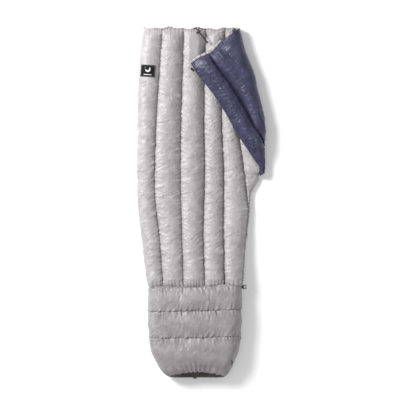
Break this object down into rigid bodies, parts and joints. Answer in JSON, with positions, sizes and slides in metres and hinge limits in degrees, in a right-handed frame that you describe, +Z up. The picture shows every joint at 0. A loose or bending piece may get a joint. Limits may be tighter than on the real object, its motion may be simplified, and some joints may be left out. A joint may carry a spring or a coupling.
{
  "type": "mummy sleeping bag",
  "caption": "Down mummy bag of the open-backed kind: long down chambers, closed foot box with drawcord and zip, drawcord head hem, one side folded open.",
  "frame": {"origin": "on the ground under the middle of the foot end", "axes": "+Y from the foot end to the head hem, +Z up, +X to the right of a person looking from the foot to the head"},
  "size_m": [0.7058, 1.972, 0.1559],
  "materials": {
    "shell_nylon": "silvery light grey ripstop nylon, soft sheen",
    "lining_nylon": "dark violet-blue taffeta nylon, soft sheen",
    "down": "white down",
    "baffle_net": "fine white mesh",
    "binding": "dark blue bias binding",
    "webbing": "black woven webbing",
    "cord": "black braided cord",
    "cord_lock_plastic": "black moulded acetal",
    "ring_plastic": "black moulded nylon",
    "spring_steel": "bare wire",
    "zip_tape": "black woven tape",
    "zip_coil": "black nylon coil",
    "zip_metal": "black painted die casting",
    "label_cloth": "black woven label cloth",
    "label_print": "light grey thread and print",
    "snap_metal": "blackened snap metal"
  },
  "bodies": {
    "quilt": {"shell_body": "shell_nylon", "foot_shell": "shell_nylon", "foot_channel": "shell_nylon", "hem_channel": "shell_nylon", "lining_body": "lining_nylon", "foot_lining": "lining_nylon", "down_body_1": "down", "down_body_2": "down", "down_body_3": "down", "down_body_4": "down", "down_left_fold": "down", "down_right_side": "down", "down_tucked_left": "down", "down_tucked_right": "down", "down_foot_ring_1": "down", "down_foot_ring_2": "down", "down_foot_ring_3": "down", "baffle_wall_1": "baffle_net", "baffle_wall_2": "baffle_net", "baffle_wall_3": "baffle_net", "baffle_wall_4": "baffle_net", "baffle_wall_5": "baffle_net", "foot_ring_wall_1": "baffle_net", "foot_ring_wall_2": "baffle_net", "binding_left": "binding", "binding_right": "binding", "hang_loop": "webbing", "side_ring_tab": "webbing", "snap_tab_body": "webbing", "foot_drawcord": "cord", "neck_drawcord": "cord", "foot_cord_tab": "cord_lock_plastic", "neck_cord_tab": "cord_lock_plastic", "zip_tape_left": "zip_tape", "zip_tape_right": "zip_tape", "zip_teeth_left": "zip_coil", "zip_teeth_right": "zip_coil", "zip_stops": "zip_metal", "label_patch": "label_cloth", "label_stitching": "label_print", "label_mark": "label_print", "snap_socket": "snap_metal"},
    "side_flap": {"flap_shell": "shell_nylon", "flap_lining": "lining_nylon", "flap_wall": "baffle_net", "down_flap_outer": "down", "down_flap_inner": "down", "flap_binding_side": "binding", "flap_binding_hem": "binding", "snap_tab_flap": "webbing", "snap_stud": "snap_metal"},
    "neck_lock": {"neck_lock_body": "cord_lock_plastic", "neck_lock_spring": "spring_steel"},
    "neck_button": {"neck_lock_button": "cord_lock_plastic"},
    "foot_lock": {"foot_lock_body": "cord_lock_plastic", "foot_lock_spring": "spring_steel"},
    "foot_button": {"foot_lock_button": "cord_lock_plastic"},
    "zip_runner": {"zip_slider": "zip_metal"},
    "zip_tab": {"zip_pull": "zip_metal"},
    "mat_ring": {"side_ring": "ring_plastic"}
  },
  "joints": [
    {"name": "flap_fold", "type": "hinge", "parent": "quilt", "child": "side_flap", "pos_m": [0.361, 1.163, 0.049], "axis": [-0.1358, 0.9907, 0], "range_deg": [0, 172]},
    {"name": "neck_lock_slide", "type": "slide", "parent": "quilt", "child": "neck_lock", "axis": [0.6141, -0.7892, 0], "range_m": [0, 0.055]},
    {"name": "neck_button_press", "type": "slide", "parent": "neck_lock", "child": "neck_button", "axis": [0.7892, 0.6141, 0], "range_m": [0, 0.0035], "deforming": ["neck_lock_spring"]},
    {"name": "foot_lock_slide", "type": "slide", "parent": "quilt", "child": "foot_lock", "axis": [0, 1, 0], "range_m": [0, 0.018]},
    {"name": "foot_button_press", "type": "slide", "parent": "foot_lock", "child": "foot_button", "axis": [0, 0, -1], "range_m": [0, 0.0035], "deforming": ["foot_lock_spring"]},
    {"name": "zip_slide", "type": "slide", "parent": "quilt", "child": "zip_runner", "axis": [0, -1, 0], "range_m": [0, 0.38]},
    {"name": "zip_pull_swing", "type": "hinge", "parent": "zip_runner", "child": "zip_tab", "pos_m": [0, 0.492, 0.0019], "axis": [1, 0, 0], "range_deg": [0, 175]},
    {"name": "side_ring_swing", "type": "hinge", "parent": "quilt", "child": "mat_ring", "pos_m": [0.2696, 0.51, 0.066], "axis": [0, 1, 0], "range_deg": [-75, 75]}
  ]
}
